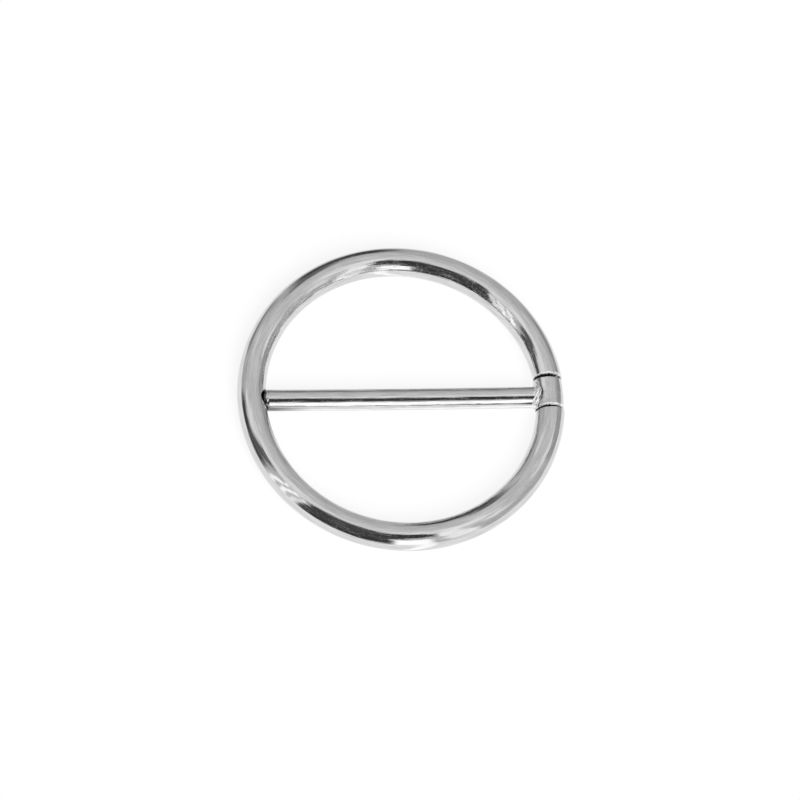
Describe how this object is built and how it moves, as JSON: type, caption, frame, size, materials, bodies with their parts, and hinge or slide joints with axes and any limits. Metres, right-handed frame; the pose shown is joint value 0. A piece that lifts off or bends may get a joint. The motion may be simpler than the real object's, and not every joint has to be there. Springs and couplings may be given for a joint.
{
  "type": "nipple ring",
  "caption": "Open hoop of round polished wire with a straight cross bar whose short closing segment fills the hoop's opening and whose nose sits in a blind socket.",
  "frame": {"origin": "centre of the ring on the surface that it lies on", "axes": "+Z out of the ring's plane, +X along the cross bar towards the closing segment"},
  "size_m": [0.0182, 0.0182, 0.0016],
  "materials": {
    "polished_titanium": null
  },
  "bodies": {
    "hoop": {"hoop": "polished_titanium"},
    "bar": {"cross_bar": "polished_titanium"}
  },
  "joints": [
    {"name": "bar_pull", "type": "slide", "parent": "hoop", "child": "bar", "axis": [1, 0, 0], "range_m": [0, 0.018]}
  ]
}
